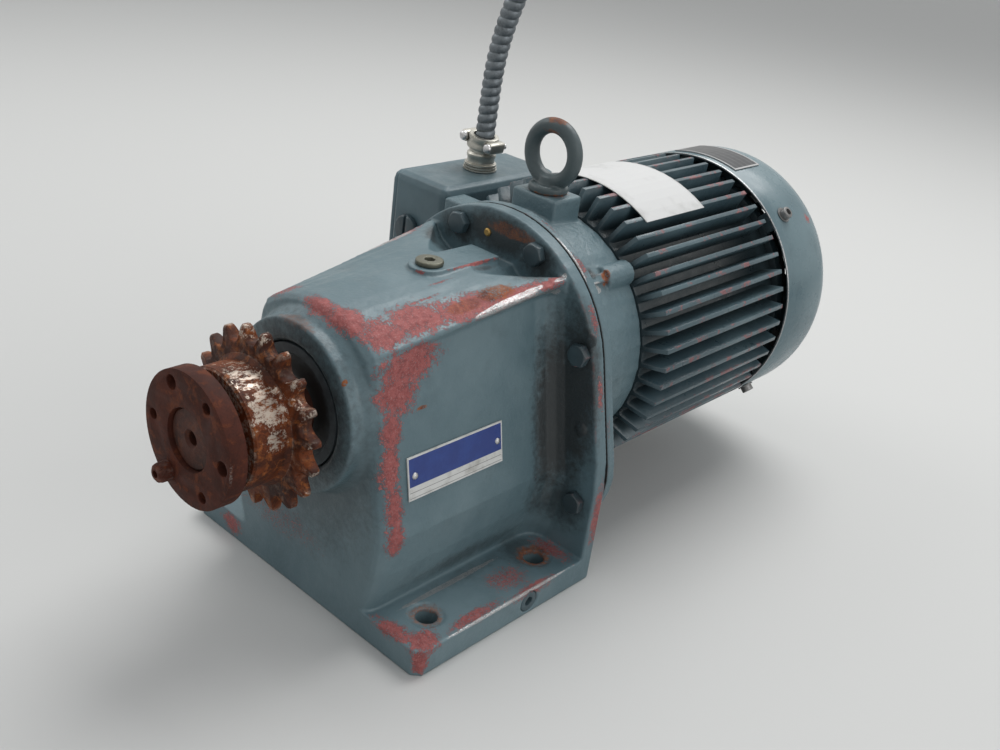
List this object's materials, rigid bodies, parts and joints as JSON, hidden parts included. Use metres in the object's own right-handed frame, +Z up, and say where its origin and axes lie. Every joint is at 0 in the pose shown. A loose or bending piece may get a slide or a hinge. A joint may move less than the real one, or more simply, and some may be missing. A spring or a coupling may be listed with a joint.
{
  "type": "gear motor",
  "caption": "Foot-mounted inline gear reducer with a finned electric motor, output sprocket, eye bolt, terminal box and a short flexible conduit.",
  "frame": {"origin": "centre of the mounting foot's underside: under the shaft line and midway along the foot", "axes": "+Z up, from the foot to the shaft; +Y along the shaft, from the output sprocket to the motor's fan; the terminal box is on the -X side"},
  "size_m": [0.2478, 0.5257, 0.3768],
  "materials": {
    "case_paint": "worn blue-grey machine enamel",
    "motor_paint": "dark blue-grey enamel, chipped",
    "rusty_steel": "light rust with rubbed patches",
    "brown_steel": "brown oxide, oily",
    "bright_steel": "ground",
    "dark_steel": "dull",
    "zinc": "dull zinc",
    "lamination": "stacked sheet",
    "copper": "varnished copper wire",
    "rubber": "matte",
    "black_plastic": "matte",
    "blue_plate": "printed blue, bare",
    "dark_plate": "dark, bare",
    "white_paper": "white paper, bare"
  },
  "bodies": {
    "frame": {"gear_housing": "case_paint", "joint_gasket": "rubber", "case_bolt_1": "case_paint", "case_bolt_2": "case_paint", "case_bolt_3": "case_paint", "case_bolt_4": "case_paint", "case_bolt_5": "case_paint", "case_bolt_6": "case_paint", "vent_plug": "dark_steel", "drain_plug": "case_paint", "output_front_bearing_outer_ring": "bright_steel", "output_rear_bearing_outer_ring": "bright_steel", "countershaft_front_bearing_outer_ring": "bright_steel", "countershaft_rear_bearing_outer_ring": "bright_steel", "motor_front_bearing_outer_ring": "bright_steel", "motor_rear_bearing_outer_ring": "bright_steel", "bearing_plate": "lamination", "output_seal": "rubber", "drive_end_shield": "case_paint", "motor_seal": "rubber", "eye_bolt": "case_paint", "stator_frame": "motor_paint", "stator_core": "lamination", "winding_front": "copper", "winding_rear": "copper", "rear_end_shield": "motor_paint", "fan_cover": "motor_paint", "fan_cover_screw_1": "dark_steel", "fan_cover_screw_2": "dark_steel", "fan_cover_screw_3": "dark_steel", "fan_cover_screw_4": "dark_steel", "oil_plate": "blue_plate", "motor_nameplate": "dark_plate", "paper_label": "white_paper", "terminal_box": "case_paint", "terminal_box_cover": "case_paint", "terminal_block": "black_plastic", "blanking_plug": "dark_steel", "cable_connector": "zinc", "conduit": "dark_steel", "conduit_end_connector": "zinc"},
    "rotor": {"rotor_shaft": "bright_steel", "rotor_core": "lamination", "motor_pinion": "bright_steel", "cooling_fan": "black_plastic", "motor_front_bearing_inner_ring": "bright_steel", "motor_rear_bearing_inner_ring": "bright_steel"},
    "countershaft": {"countershaft": "bright_steel", "countershaft_gear": "bright_steel", "countershaft_front_bearing_inner_ring": "bright_steel", "countershaft_rear_bearing_inner_ring": "bright_steel"},
    "output": {"output_shaft": "brown_steel", "output_gear": "bright_steel", "output_key": "dark_steel", "sprocket": "rusty_steel", "taper_bushing": "brown_steel", "bushing_screw": "brown_steel", "output_front_bearing_inner_ring": "bright_steel", "output_rear_bearing_inner_ring": "bright_steel"}
  },
  "joints": [
    {"name": "rotor_spin", "type": "hinge", "parent": "frame", "child": "rotor", "pos_m": [0, 0.077, 0.13], "axis": [0, 1, 0], "continuous": true},
    {"name": "countershaft_spin", "type": "hinge", "parent": "frame", "child": "countershaft", "pos_m": [0, 0.077, 0.084], "axis": [0, 1, 0], "continuous": true},
    {"name": "output_spin", "type": "hinge", "parent": "frame", "child": "output", "pos_m": [0, 0.077, 0.13], "axis": [0, 1, 0], "continuous": true}
  ],
  "couplings": [
    {"joint": "countershaft_spin", "follows": "rotor_spin", "ratio": -0.35294},
    {"joint": "output_spin", "follows": "rotor_spin", "ratio": 0.17078}
  ]
}
